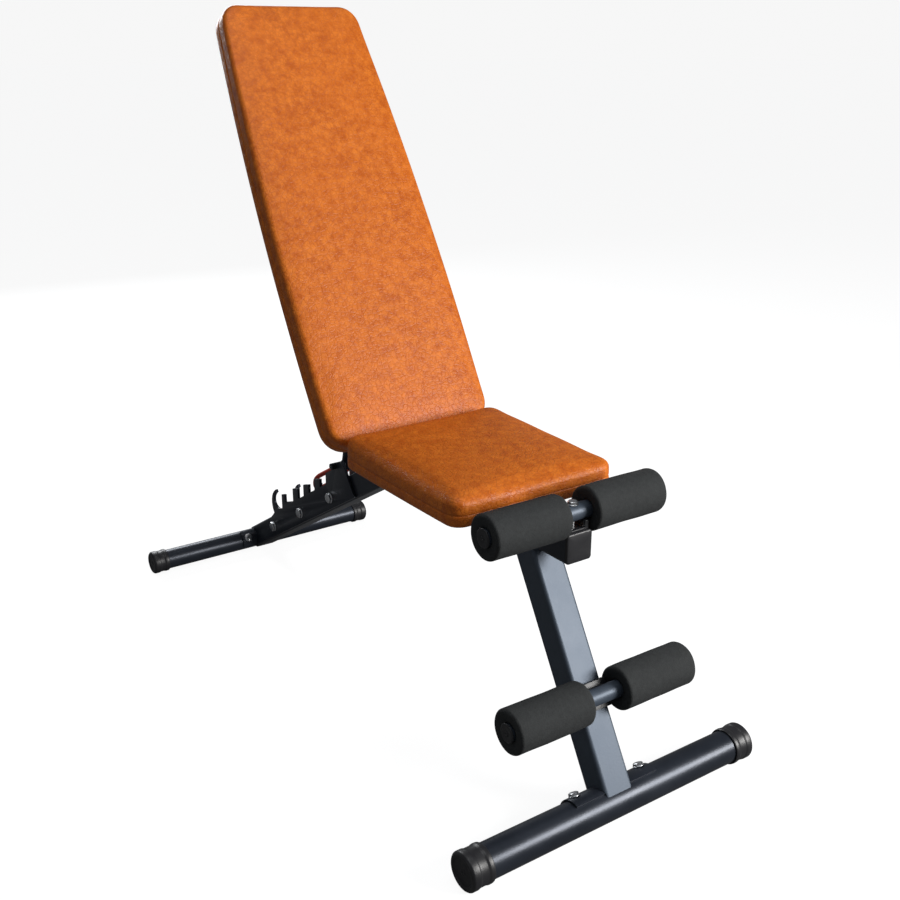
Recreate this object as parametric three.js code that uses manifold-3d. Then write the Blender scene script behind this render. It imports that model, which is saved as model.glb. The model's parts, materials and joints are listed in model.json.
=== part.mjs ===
// Adjustable weight bench: a two-foot frame with a fixed seat, a tilting backrest propped by a
// strut that rests in a ladder of notches, and two pairs of foam leg rollers.
// Millimetres, +Z up, +Y from the leg rollers to the head end, X across the bench.
// The origin is the middle of the bench's footprint, on the floor.

import * as THREE from 'three';
import { mergeVertices } from 'three/addons/utils/BufferGeometryUtils.js';
import Module from 'manifold-3d';

const wasm = await Module();
wasm.setup();

// ---- clearances ------------------------------------------------------------------------------
const touchGap = 0.3; // between pieces that are welded, glued or bolted together
const runGap = 1; // beside pieces that turn
const boltGap = 0.3; // round a bolt in its hole

// ---- feet ------------------------------------------------------------------------------------
const footSpacing = 1130; // front foot axis to rear foot axis
const frontFoot = { length: 525, radius: 25, capRadius: 28, capLength: 36 };
const rearFoot = { length: 505, radius: 20, capRadius: 23, capLength: 32 };
const capWall = 4; // closed end of a foot cap
const capFlat = 0.5; // how much of a cap is pressed flat against the floor
const tubeWall = 2;
const saddleThickness = 3;
const frontSaddleLength = 150;
const rearSaddleLength = 110;
const saddleArc = 48; // degrees that a saddle reaches round its tube, each side of its bolts
const saddleBolt = { radius: 4, length: 18, frontX: 61, rearX: 42 };

// ---- post, seat rail and rear beam -----------------------------------------------------------
const railSize = 45; // square tube
const railZ = 386; // axis height of the seat rail
const railFrontY = 97; // front end of the seat rail, without its cap
const bendY = 515; // where the seat rail meets the sloping rear beam
const postWidth = 50;
const postDepth = 45;
const postLean = 29.7; // degrees from upright
const beamEndShort = 6; // the beam stops this much before the rear foot's axis

// ---- leg rollers -----------------------------------------------------------------------------
const rodRadius = 12.5;
const upperRodY = 111;
const upperRodLift = 23; // rod axis above the rail's top face
const lowerRodAlong = 150.5; // up the post from the front foot's axis
const cradleThickness = 8; // cradle between the post and the lower rod
const rodInset = 3; // how deep a rod sits in its cradle
const upperCradle = { width: 36, depth: 30, slot: 22, base: 3 };
const lowerCradle = { width: 50, depth: 40, slot: 0, base: 0 };
const rollerRadius = 32.5;
const rollerRound = 6; // rounded rim of the foam
const upperRoller = { inner: 23.5, outer: 150.5 };
const lowerRoller = { inner: 31.5, outer: 160.5 };
const plugThickness = 2.5;
const plugRadius = 14;

// ---- seat ------------------------------------------------------------------------------------
const seatFrontY = 186;
const seatLength = 303;
const seatWidth = 288;
const padThickness = 39; // seat cushion, from under its board
const boardThickness = 11;
const boardInset = 9; // a board's edge inside its cushion's edge
const seatCorner = 22;
const bracketThickness = 3;
const seatBracket = { width: 210, depth: 40, fromEnd: 60, screwX: 84 };

// ---- backrest --------------------------------------------------------------------------------
const hingeY = 537;
const hingeRise = 12; // hinge axis above the seat rail's axis
const backAngle = 59.7; // degrees from level, as modelled
const backLength = 757;
const backStart = 21; // pad's lower edge from the hinge, along the backrest
const backThickness = 44.5;
const backWidths = { bottom: 294, middle: 290, top: 250 };
const backCorner = 38;
const hingeTubeRadius = 11;
const hingeBoltRadius = 5;
const backRail = { width: 25, depth: 25, x: 54, below: 17, top: 620 };
const crossBarSize = 20;
const crossBarAt = [115, 590]; // along the backrest
const backScrewAt = [170, 520];

// ---- prop strut ------------------------------------------------------------------------------
const strutPivotAlong = 240; // from the hinge, along the backrest
const strutPivotClear = 1.8; // pivot tube behind the backrest's board
const strutRadius = 11;
const strutBarRadius = 6;
const strutBarReach = 36; // half length of the bar that rests in the ladder
const strutTail = 8; // tube below the bar's axis

// ---- ladder ----------------------------------------------------------------------------------
const plateThickness = 5;
const ladderBoltAt = 284; // first bolt, along the beam from the bend
const ladderBoltPitch = 145;
const ladderBoltRadius = 5;
const plateLow = -20; // plate's lower edge, from the beam's axis
const plateFront = -95; // plate's front end, from its first bolt
const restSeat = { s: -55, t: 49 }; // bar axis as modelled: along the plate, above the beam's axis
const toothFirst = 0; // rear foot of the first tooth
const toothPitch = 54.5;
const toothWidth = 23;
const toothTips = [45.2, 46, 47, 50.6]; // above the beam's axis
const notchFloor = 27;
const lastTooth = { rear: 224, tip: 51.3, width: 15 };
const hookFoot = { front: 242, rear: 269 };

// ---- derived ---------------------------------------------------------------------------------
const frontAxisZ = frontFoot.capRadius - capFlat;
const rearAxisZ = rearFoot.capRadius - capFlat;
const railTop = railZ + railSize / 2;
const beamRun = footSpacing - bendY;
const beamDrop = railZ - rearAxisZ;
const beamLength = Math.hypot(beamRun, beamDrop);
const beamSlope = Math.atan2(beamDrop, beamRun);
const postTilt = THREE.MathUtils.degToRad(postLean);
const backTilt = THREE.MathUtils.degToRad(90 - backAngle);
const hingeZ = railZ + hingeRise;
const seatBase = railTop + touchGap + bracketThickness + touchGap;
const seatTop = seatBase + padThickness;
const padFace = seatTop - hingeZ; // level with the seat's top when the backrest lies flat
const backOfPad = backThickness - padFace;
const railCentre = backOfPad + touchGap + backRail.depth / 2;
const pivotBack = backOfPad + strutPivotClear + strutRadius;
const lowerRodOut = postDepth / 2 + touchGap + cradleThickness + rodRadius - rodInset;
const halfTube = backRail.x - backRail.width / 2 - runGap; // half length of tubes between the rails
const middleY = (footSpacing + rearFoot.capRadius - frontFoot.capRadius) / 2;

// ---- materials -------------------------------------------------------------------------------
const paint = { color: 0x1b1f26, roughness: 0.32, metalness: 0.25 };
const postPaint = { color: 0x5d6878, roughness: 0.3, metalness: 0.35 };
const plastic = { color: 0x17181a, roughness: 0.55, metalness: 0 };
const foam = { color: 0x3a3c3e, roughness: 0.95, metalness: 0 };
const vinyl = { color: 0xc8621f, roughness: 0.4, metalness: 0 };
const plywood = { color: 0x8a6b48, roughness: 0.8, metalness: 0 };
const zinc = { color: 0xc9ccd0, roughness: 0.3, metalness: 0.9 };
const redCoat = { color: 0xd2371a, roughness: 0.45, metalness: 0 };

// ---- solids ----------------------------------------------------------------------------------
function toSolid(geometry) {
  const bare = geometry.index ? geometry.clone() : geometry;
  bare.deleteAttribute('normal');
  bare.deleteAttribute('uv');
  const merged = mergeVertices(bare, 1e-4);
  const mesh = new wasm.Mesh({
    numProp: 3,
    vertProperties: new Float32Array(merged.attributes.position.array),
    triVerts: new Uint32Array(merged.index.array),
  });
  return new wasm.Manifold(mesh);
}

function toGeometry(solid) {
  const { vertProperties, triVerts } = solid.getMesh();
  const geometry = new THREE.BufferGeometry();
  geometry.setAttribute('position', new THREE.BufferAttribute(vertProperties, 3));
  geometry.setIndex(new THREE.BufferAttribute(triVerts, 1));
  geometry.computeVertexNormals();
  return geometry;
}

function cut(geometry, ...tools) {
  return toGeometry(tools.reduce((solid, tool) => solid.subtract(toSolid(tool)), toSolid(geometry)));
}

function join(geometry, ...others) {
  return toGeometry(others.reduce((solid, other) => solid.add(toSolid(other)), toSolid(geometry)));
}

function boxAt(width, depth, height, x = 0, y = 0, z = 0) {
  return new THREE.BoxGeometry(width, depth, height).translate(x, y, z);
}

// a cylinder along X
function rodX(radius, length, x = 0, y = 0, z = 0, sides = 20) {
  return new THREE.CylinderGeometry(radius, radius, length, sides).rotateZ(Math.PI / 2).translate(x, y, z);
}

// a cylinder along Z
function rodZ(radius, length, x = 0, y = 0, z = 0, sides = 12) {
  return new THREE.CylinderGeometry(radius, radius, length, sides).rotateX(Math.PI / 2).translate(x, y, z);
}

// an outline drawn in (y, z), made solid from x = start to start + thickness
function plateX(shape, thickness, start, curveSegments = 8) {
  const flat = new THREE.ExtrudeGeometry(shape, { depth: thickness, bevelEnabled: false, curveSegments });
  const axes = new THREE.Matrix4().set(0, 0, 1, start, 1, 0, 0, 0, 0, 1, 0, 0, 0, 0, 0, 1);
  return flat.applyMatrix4(axes);
}

// everything on the far side of a plane through (y, z), whose normal leans `tilt` from +Z to +Y
function beyond(y, z, tilt) {
  const reach = 400;
  return boxAt(reach, reach, reach, 0, 0, reach / 2).rotateX(-tilt).translate(0, y, z);
}

// a bolt along X: round shank, hexagon head at -X, hexagon nut at +X
function boltX(radius, halfGrip, y = 0, z = 0) {
  const headRadius = radius * 1.9;
  const headHeight = radius * 1.2;
  const half = halfGrip + touchGap;
  const shank = rodX(radius, 2 * half + 2 * headHeight + 2, 1, y, z, 12);
  const head = rodX(headRadius, headHeight, -half - headHeight / 2, y, z, 6);
  const nut = rodX(headRadius, headHeight, half + headHeight / 2, y, z, 6);
  return join(shank, head, nut);
}

// a bolt along Z with its head's seat at z and its shank reaching down
function boltZ(radius, length, x, y, z) {
  const headHeight = radius * 1.2;
  const overlap = 0.5;
  const shank = rodZ(radius, length + overlap, x, y, z - length / 2 + overlap / 2, 10);
  return join(shank, rodZ(radius * 1.9, headHeight, x, y, z + headHeight / 2, 6));
}

const bench = new THREE.Group();
bench.position.y = -middleY;

function piece(parent, name, geometry, finish) {
  const mesh = new THREE.Mesh(geometry, new THREE.MeshStandardMaterial(finish));
  mesh.name = name;
  parent.add(mesh);
  return mesh;
}

function groupAt(parent, y, z, tilt = 0) {
  const group = new THREE.Group();
  group.position.set(0, y, z);
  group.rotation.x = -tilt; // positive tilt leans +Z towards +Y
  parent.add(group);
  return group;
}

const sides = [['left', -1], ['right', 1]];

// ---- feet: each a tube with two pressed-on caps and a saddle that carries the frame ----------
function footCap(foot, side) {
  const { radius, capRadius, capLength, length } = foot;
  const round = 3;
  const bore = radius + touchGap;
  const depth = capLength - capWall;
  const profile = [
    [0, -capWall], [capRadius - round, -capWall], [capRadius, -capWall + round],
    [capRadius, depth], [bore, depth], [bore, 0], [0, 0],
  ].map(([r, h]) => new THREE.Vector2(r, h));
  const cup = new THREE.LatheGeometry(profile, 28).rotateZ(side * Math.PI / 2);
  cup.translate(side * (length / 2 - capWall), 0, 0);
  const floorCut = boxAt(capLength * 4, capRadius * 4, capRadius, side * length / 2, 0, -capRadius * 1.5 + capFlat);
  return cut(cup, floorCut);
}

// holes for a saddle's two bolts, along the local Z
function saddleHoles(foot, boltX) {
  const { radius } = saddleBolt;
  return [-1, 1].map((side) => rodZ(radius + boltGap, foot.radius * 2, side * boltX, 0, foot.radius));
}

function footTube(foot, boltX) {
  const half = foot.length / 2 - capWall - touchGap;
  const outside = rodX(foot.radius, 2 * half, 0, 0, 0, 28);
  const inside = rodX(foot.radius - tubeWall, 2 * half + 10, 0, 0, 0, 28);
  return cut(outside, inside, ...saddleHoles(foot, boltX));
}

// a strip bent round the tube, centred on +Z, grown by `gap` on every face
function saddleStrip(foot, length, gap = 0) {
  const inner = foot.radius + touchGap - gap;
  const outer = foot.radius + touchGap + saddleThickness + gap;
  const reach = THREE.MathUtils.degToRad(saddleArc) + gap / inner;
  const shape = new THREE.Shape();
  shape.absarc(0, 0, outer, Math.PI / 2 - reach, Math.PI / 2 + reach, false);
  shape.absarc(0, 0, inner, Math.PI / 2 + reach, Math.PI / 2 - reach, true);
  return plateX(shape, length, -length / 2, 8);
}

// what a tube that stands on a foot is cut away by: the foot's tube and its saddle
function footTools(foot, width) {
  return [rodX(foot.radius + touchGap, width, 0, 0, 0, 36), saddleStrip(foot, width, touchGap)];
}

// `lean` is the direction of the tube that stands on the foot, from +Z towards +Y
function addFoot(name, foot, y, z, saddleLength, boltX, lean) {
  const upright = groupAt(bench, y, z);
  const leaning = groupAt(bench, y, z, lean);
  const boltSeat = foot.radius + touchGap + saddleThickness + touchGap;
  const { radius, length } = saddleBolt;
  piece(leaning, `${name}_base_tube`, footTube(foot, boltX), paint);
  const strip = cut(saddleStrip(foot, saddleLength), ...saddleHoles(foot, boltX));
  piece(leaning, `${name}_saddle`, strip, paint);
  for (const [label, side] of sides) {
    piece(upright, `${name}_base_cap_${label}`, footCap(foot, side), plastic);
    piece(leaning, `${name}_saddle_bolt_${label}`, boltZ(radius, length, side * boltX, 0, boltSeat), zinc);
  }
}

addFoot('front', frontFoot, 0, frontAxisZ, frontSaddleLength, saddleBolt.frontX, postTilt);
addFoot('rear', rearFoot, footSpacing, rearAxisZ, rearSaddleLength, saddleBolt.rearX, beamSlope - Math.PI / 2);

// ---- front post: a leaning tube between the front saddle and the seat rail -------------------
const postGroup = groupAt(bench, 0, frontAxisZ, postTilt);
const postReach = (railZ - railSize / 2 - touchGap - frontAxisZ) / Math.cos(postTilt);
const rodBoltRadius = 4;
const lowerRodHole = new THREE.CylinderGeometry(rodBoltRadius + boltGap, rodBoltRadius + boltGap, 120, 12)
  .translate(0, -20, lowerRodAlong);

function addPost() {
  const over = 60;
  const inner = new THREE.Vector2(postWidth - 2 * tubeWall, postDepth - 2 * tubeWall);
  const centre = (postReach + over) / 2;
  const body = boxAt(postWidth, postDepth, postReach + over, 0, 0, centre);
  const bore = boxAt(inner.x, inner.y, postReach + 2 * over, 0, 0, centre);
  const topTool = beyond(0, postReach, -postTilt);
  const tools = [bore, ...footTools(frontFoot, postWidth * 2), topTool, lowerRodHole];
  piece(postGroup, 'front_post', cut(body, ...tools), postPaint);
}
addPost();

// ---- seat rail and rear beam, meeting in a mitre ----------------------------------------------
const rodBoltHole = rodZ(rodBoltRadius + boltGap, 60, 0, upperRodY, railTop);
const bracketCentres = [seatFrontY + seatBracket.fromEnd, seatFrontY + seatLength - seatBracket.fromEnd];
const beamGroup = groupAt(bench, bendY, railZ, beamSlope);
const ladderBolts = ['front', 'middle', 'rear'].map((label, i) => [label, ladderBoltAt + i * ladderBoltPitch]);
// where the hinge axis lies in the beam's own frame: along it, and above its axis
const hingeOffset = new THREE.Vector2(hingeY - bendY, hingeRise);
const hingeOnBeam = hingeOffset.clone().rotateAround(new THREE.Vector2(), beamSlope);

function squareTube(size, from, to) {
  const length = to - from;
  const body = boxAt(size, length, size, 0, from + length / 2, 0);
  const bore = boxAt(size - 2 * tubeWall, length + 40, size - 2 * tubeWall, 0, from + length / 2, 0);
  return [body, bore];
}

function addRailAndBeam() {
  const past = railSize;
  const mitre = (tilt) => beyond(0, 0, tilt);
  const [rail, railBore] = squareTube(railSize, railFrontY - bendY, past);
  const rearHalf = mitre(Math.PI / 2 + beamSlope / 2).translate(0, -touchGap / 2, 0);
  const rodHole = rodBoltHole.clone().translate(0, -bendY, -railZ);
  const railGroup = groupAt(bench, bendY, railZ);
  piece(railGroup, 'seat_rail', cut(rail, railBore, rearHalf, rodHole), paint);

  const [beam, beamBore] = squareTube(railSize, -past, beamLength - beamEndShort);
  const frontHalf = mitre(-Math.PI / 2 - beamSlope / 2).translate(0, touchGap / 2, 0);
  // the saddle is centred on the beam's own direction, seen from the foot
  const feetTools = footTools(rearFoot, railSize * 2).map((tool) =>
    tool.rotateX(Math.PI / 2).translate(0, beamLength, 0));
  const hingeTool = rodX(hingeTubeRadius + touchGap, railSize * 2, 0, hingeOnBeam.x, hingeOnBeam.y, 24);
  const bolts = ladderBolts.map(([, s]) => rodX(ladderBoltRadius + boltGap, railSize * 2, 0, s, 0, 12));
  piece(beamGroup, 'rear_beam', cut(beam, beamBore, frontHalf, ...feetTools, hingeTool, ...bolts), paint);

  const capDepth = upperRodY - railFrontY - rodBoltRadius - 2;
  const plugSize = railSize - 2 * tubeWall - 2 * touchGap;
  const face = boxAt(railSize, capWall, railSize, 0, -touchGap - capWall / 2, 0);
  const plug = boxAt(plugSize, capDepth + 1, plugSize, 0, (capDepth + 1) / 2 - 1, 0);
  const capGroup = groupAt(bench, railFrontY, railZ);
  piece(capGroup, 'seat_rail_end_cap', join(face, plug), plastic);
}
addRailAndBeam();

// ---- ladder: two notched plates bolted through the beam --------------------------------------
function ladderOutline() {
  const slant = Math.tan(beamSlope); // teeth stand upright, so they lean back along the beam
  const rearBolt = 2 * ladderBoltPitch;
  const shape = new THREE.Shape();
  const up = (s, from, to) => shape.lineTo(s - (to - from) * slant, to);
  shape.moveTo(plateFront, plateLow);
  shape.lineTo(rearBolt, plateLow);
  shape.absarc(rearBolt, 0, -plateLow, -Math.PI / 2, Math.PI / 2, false);
  // hook: a blade that curls forward over the last notch
  shape.lineTo(hookFoot.rear, notchFloor - 2);
  shape.bezierCurveTo(hookFoot.rear + 3, 46, hookFoot.rear - 10, 66, hookFoot.front - 12, 66.5);
  shape.lineTo(hookFoot.front - 13, 60.5);
  shape.bezierCurveTo(hookFoot.front + 14, 59, hookFoot.front + 19, 40, hookFoot.front, notchFloor + 1);
  // last tooth, thinner than the others
  shape.lineTo(lastTooth.rear, notchFloor - 2);
  up(lastTooth.rear, notchFloor - 2, lastTooth.tip);
  const lastFront = lastTooth.rear - (lastTooth.tip - notchFloor) * slant - lastTooth.width;
  shape.lineTo(lastFront, lastTooth.tip - 3);
  shape.lineTo(lastFront + 8, notchFloor + 7);
  // the other teeth, from the rear to the front
  for (let i = toothTips.length - 1; i >= 0; i -= 1) {
    const rear = toothFirst + i * toothPitch;
    const tip = toothTips[i];
    shape.lineTo(rear, notchFloor);
    up(rear, notchFloor, tip);
    const front = rear - (tip - notchFloor) * slant - toothWidth;
    if (i > 0) {
      shape.lineTo(front, tip - 5);
      shape.lineTo(front + (tip - 5 - notchFloor) * slant, notchFloor);
    }
  }
  // shallow resting seat, round under the bar, with a shoulder in front of it
  const seatRadius = strutBarRadius + touchGap * 2;
  const { s, t } = restSeat;
  shape.lineTo(s + seatRadius + 12, t - 3.8);
  shape.lineTo(s + seatRadius * 0.7, t - seatRadius * 0.72);
  shape.absarc(s, t, seatRadius, -Math.PI / 4, -Math.PI, true);
  shape.lineTo(s - seatRadius - 3, t + 2);
  shape.lineTo(plateFront + 8, t + 2);
  shape.closePath();
  return shape;
}

function addLadder() {
  const outline = ladderOutline();
  const inside = railSize / 2 + touchGap;
  for (const [label, side] of sides) {
    const start = side > 0 ? inside : -inside - plateThickness;
    const plate = plateX(outline, plateThickness, start, 8).translate(0, ladderBoltAt, 0);
    const holes = ladderBolts.map(([, s]) => rodX(ladderBoltRadius + boltGap, railSize * 2, 0, s, 0, 12));
    piece(beamGroup, `ladder_plate_${label}`, cut(plate, ...holes), paint);
  }
  for (const [label, s] of ladderBolts) {
    piece(beamGroup, `ladder_bolt_${label}`, boltX(ladderBoltRadius, inside + plateThickness, s, 0), zinc);
  }
}
addLadder();

// ---- leg rollers: foam sleeves that turn on two cross rods -----------------------------------
function foamSleeve(inner, outer) {
  const bore = rodRadius + runGap;
  const steps = 3;
  const rim = (x, sign) => Array.from({ length: steps + 1 }, (_, i) => {
    const angle = (i / steps) * Math.PI / 2;
    const turn = sign > 0 ? angle : Math.PI / 2 - angle;
    return new THREE.Vector2(
      rollerRadius - rollerRound + rollerRound * Math.cos(turn),
      x + sign * rollerRound * Math.sin(turn),
    );
  });
  const profile = [
    new THREE.Vector2(bore, inner),
    ...rim(inner + rollerRound, -1),
    ...rim(outer - rollerRound, 1),
    new THREE.Vector2(bore, outer),
    new THREE.Vector2(bore, inner),
  ];
  return new THREE.LatheGeometry(profile, 24);
}

// stands between a rod and the face below it, hollowed to the rod's round; a slot leaves two ears
function cradle({ width, depth, slot, base }, bottom, rodHeight) {
  const height = rodHeight - rodRadius + rodInset - bottom;
  const block = boxAt(width, depth, height, 0, 0, bottom + height / 2);
  const seat = rodX(rodRadius + touchGap, width * 2, 0, 0, rodHeight, 24);
  const tools = [seat, rodZ(rodBoltRadius + boltGap, 80, 0, 0, bottom)];
  if (slot > 0) {
    tools.push(boxAt(slot, depth * 2, height, 0, 0, bottom + base + height / 2));
  }
  return cut(block, ...tools);
}

function addRollers(level, group, span, rodHeight, bottom, cradleSize) {
  const rodHalf = span.outer;
  const fromBehind = level === 'lower'; // its bolt comes through the post and ends inside the rod
  const rod = cut(
    rodX(rodRadius, 2 * rodHalf, 0, 0, rodHeight),
    rodX(rodRadius - tubeWall, 2 * rodHalf + 10, 0, 0, rodHeight),
    rodZ(rodBoltRadius + boltGap, 80, 0, 0, rodHeight - (fromBehind ? 40 : 0)),
  );
  piece(group, `${level}_roller_rod`, rod, paint);
  piece(group, `${level}_rod_cradle`, cradle(cradleSize, bottom, rodHeight), paint);
  const behind = postDepth / 2 + touchGap;
  const bolt = fromBehind
    ? boltZ(rodBoltRadius, behind + rodHeight, 0, 0, 0).rotateX(Math.PI).translate(0, 0, -behind)
    : boltZ(rodBoltRadius, rodHeight + rodRadius - bottom + 10, 0, 0, rodHeight + rodRadius + touchGap);
  piece(group, `${level}_rod_bolt`, bolt, zinc);
  for (const [label, side] of sides) {
    const stem = rodRadius - tubeWall - touchGap;
    const face = rodX(plugRadius, plugThickness, side * (rodHalf + touchGap + plugThickness / 2), 0, rodHeight);
    const tail = rodX(stem, 12, side * (rodHalf - 6 + touchGap + 1), 0, rodHeight);
    piece(group, `${level}_rod_plug_${label}`, join(face, tail), plastic);
    const sleeve = foamSleeve(span.inner, span.outer).rotateZ(-side * Math.PI / 2).translate(0, 0, rodHeight);
    piece(group, `${level}_roller_${label}`, sleeve, foam);
  }
}

const upperGroup = groupAt(bench, upperRodY, railTop);
addRollers('upper', upperGroup, upperRoller, upperRodLift, touchGap, upperCradle);
// the lower rod's frame has its +Z square to the post's front face
const lowerGroup = new THREE.Group();
lowerGroup.position.z = lowerRodAlong;
lowerGroup.rotation.x = Math.PI / 2;
postGroup.add(lowerGroup);
addRollers('lower', lowerGroup, lowerRoller, lowerRodOut, postDepth / 2 + touchGap, lowerCradle);

// ---- upholstery: a board with a padded cushion sitting down over it --------------------------
// outline in (x, along), with rounded corners and a width at the bottom, middle and top
function padShape(widths, length, corner, inset) {
  const [low, mid, high] = widths.map((w) => w / 2 - inset);
  const from = inset;
  const to = length - inset;
  const round = Math.max(corner - inset, 4);
  const shape = new THREE.Shape();
  shape.moveTo(0, from);
  shape.lineTo(low - round, from);
  shape.quadraticCurveTo(low, from, low, from + round);
  shape.quadraticCurveTo(mid + (mid - (low + high) / 2), (from + to) / 2, high, to - round);
  shape.quadraticCurveTo(high, to, high - round, to);
  shape.lineTo(round - high, to);
  shape.quadraticCurveTo(-high, to, -high, to - round);
  shape.quadraticCurveTo(-mid - (mid - (low + high) / 2), (from + to) / 2, -low, from + round);
  shape.quadraticCurveTo(-low, from, round - low, from);
  shape.closePath();
  return shape;
}

// the pad's face is at z = thickness, its board's underside at z = 0
function padSolids(widths, length, corner, thickness) {
  const edge = 7;
  const cover = new THREE.ExtrudeGeometry(padShape(widths, length, corner, edge), {
    depth: thickness - edge,
    bevelThickness: edge,
    bevelSize: edge,
    bevelSegments: 3,
    curveSegments: 5,
  });
  const flatBottom = boxAt(1000, 3000, 100, 0, 0, -50);
  const pocket = new THREE.ExtrudeGeometry(padShape(widths, length, corner, boardInset - touchGap), {
    depth: boardThickness + touchGap, bevelEnabled: false, curveSegments: 5,
  });
  const board = new THREE.ExtrudeGeometry(padShape(widths, length, corner, boardInset), {
    depth: boardThickness, bevelEnabled: false, curveSegments: 5,
  });
  return { cushion: cut(cover, flatBottom, pocket.translate(0, 0, -0.001)), board };
}

// ---- seat ------------------------------------------------------------------------------------
const seatScrewRadius = 3;

function addSeat() {
  const group = groupAt(bench, seatFrontY, seatBase);
  const { cushion, board } = padSolids([seatWidth, seatWidth + 3, seatWidth], seatLength, seatCorner, padThickness);
  const screwDepth = boardThickness - 2;
  const screwSpots = [];
  bracketCentres.forEach((y, i) => {
    const label = ['front', 'rear'][i];
    const plate = boxAt(seatBracket.width, seatBracket.depth, bracketThickness, 0, y - seatFrontY,
      -touchGap - bracketThickness / 2);
    const holes = [-1, 1].map((side) =>
      rodZ(seatScrewRadius + boltGap, 20, side * seatBracket.screwX, y - seatFrontY, 0, 8));
    piece(group, `seat_bracket_${label}`, cut(plate, ...holes), paint);
    for (const [which, side] of sides) {
      screwSpots.push([`seat_screw_${label}_${which}`, side * seatBracket.screwX, y - seatFrontY]);
    }
  });
  const boardHoles = screwSpots.map(([, x, y]) => rodZ(seatScrewRadius + boltGap, 2 * (screwDepth + 0.5), x, y, 0, 8));
  piece(group, 'seat_board', cut(board, ...boardHoles), plywood);
  piece(group, 'seat_cushion', cushion, vinyl);
  const seatZ = 2 * touchGap + bracketThickness;
  for (const [name, x, y] of screwSpots) {
    const screw = boltZ(seatScrewRadius, screwDepth + seatZ, 0, 0, 0).rotateY(Math.PI);
    piece(group, name, screw.translate(x, y, -seatZ), zinc);
  }
}
addSeat();

// ---- hinge: a tube welded across the beam, and its bolt --------------------------------------
const hingeGroup = groupAt(bench, hingeY, hingeZ);
const boltTool = rodX(hingeBoltRadius + boltGap, 400, 0, 0, 0, 12);
const railOuter = backRail.x + backRail.width / 2;
piece(hingeGroup, 'hinge_tube', cut(rodX(hingeTubeRadius, 2 * halfTube), boltTool), paint);
piece(hingeGroup, 'hinge_bolt', boltX(hingeBoltRadius, railOuter + runGap / 2), zinc);

// ---- backrest: local +Z runs up the pad, +Y towards its rear ---------------------------------
const backGroup = groupAt(bench, hingeY, hingeZ, backTilt);
const pivotTool = rodX(hingeBoltRadius + boltGap, 400, 0, pivotBack, strutPivotAlong, 12);
const backScrewRadius = 3;
const screwReach = backRail.depth + touchGap + boardThickness - 2;

function addBackrest() {
  const widths = [backWidths.bottom, backWidths.middle, backWidths.top];
  const { cushion, board } = padSolids(widths, backLength, backCorner, backThickness);
  // turn the pad's (x, along, face) axes into (x, -y, z)
  const stand = new THREE.Matrix4().set(1, 0, 0, 0, 0, 0, -1, backOfPad, 0, 1, 0, backStart, 0, 0, 0, 1);
  const screwSpots = [];
  for (const [label, side] of sides) {
    backScrewAt.forEach((z, i) => {
      screwSpots.push([`back_screw_${['lower', 'upper'][i]}_${label}`, side * backRail.x, z]);
    });
  }
  const screwTool = (x, z) =>
    new THREE.CylinderGeometry(backScrewRadius + boltGap, backScrewRadius + boltGap, 2 * (boardThickness - 1.5), 8)
      .translate(x, backOfPad, z);
  const boardHoles = screwSpots.map(([, x, z]) => screwTool(x, z));
  piece(backGroup, 'back_board', cut(board.applyMatrix4(stand), ...boardHoles), plywood);
  piece(backGroup, 'back_cushion', cushion.applyMatrix4(stand), vinyl);

  const railHeight = backRail.top + backRail.below;
  const middle = (backRail.top - backRail.below) / 2;
  for (const [label, side] of sides) {
    const x = side * backRail.x;
    const body = boxAt(backRail.width, backRail.depth, railHeight, x, railCentre, middle);
    const bore = boxAt(backRail.width - 2 * tubeWall, backRail.depth - 2 * tubeWall, railHeight + 20, x,
      railCentre, middle);
    const screws = backScrewAt.map((z) =>
      new THREE.CylinderGeometry(backScrewRadius + boltGap, backScrewRadius + boltGap, 80, 8).translate(x, 0, z));
    piece(backGroup, `back_rail_${label}`, cut(body, bore, boltTool, pivotTool, ...screws), paint);
  }
  crossBarAt.forEach((z, i) => {
    const half = backRail.x - backRail.width / 2 - touchGap;
    const bar = boxAt(2 * half, crossBarSize, crossBarSize, 0, railCentre, z);
    const inside = boxAt(2 * half + 10, crossBarSize - 2 * tubeWall, crossBarSize - 2 * tubeWall, 0, railCentre, z);
    piece(backGroup, `back_cross_bar_${['lower', 'upper'][i]}`, cut(bar, inside), paint);
  });
  for (const [name, x, z] of screwSpots) {
    const seatY = railCentre + backRail.depth / 2 + touchGap;
    const screw = boltZ(backScrewRadius, screwReach + touchGap, 0, 0, 0).rotateX(-Math.PI / 2);
    piece(backGroup, name, screw.translate(x, seatY, z), zinc);
  }
  piece(backGroup, 'strut_pivot_bolt', boltX(hingeBoltRadius, railOuter, pivotBack, strutPivotAlong), zinc);
}
addBackrest();

// ---- prop strut: hangs from the backrest, its bar rests in the ladder -------------------------
// both ends in (y, z) of the bench
const alongBack = new THREE.Vector2(Math.sin(backTilt), Math.cos(backTilt));
const behindBack = new THREE.Vector2(Math.cos(backTilt), -Math.sin(backTilt));
const pivot = new THREE.Vector2(hingeY, hingeZ)
  .addScaledVector(alongBack, strutPivotAlong)
  .addScaledVector(behindBack, pivotBack);
const barSeat = new THREE.Vector2(ladderBoltAt + restSeat.s, restSeat.t)
  .rotateAround(new THREE.Vector2(), -beamSlope)
  .add(new THREE.Vector2(bendY, railZ));
const strutLength = pivot.distanceTo(barSeat);
const strutLean = Math.asin((barSeat.x - pivot.x) / strutLength);

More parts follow.
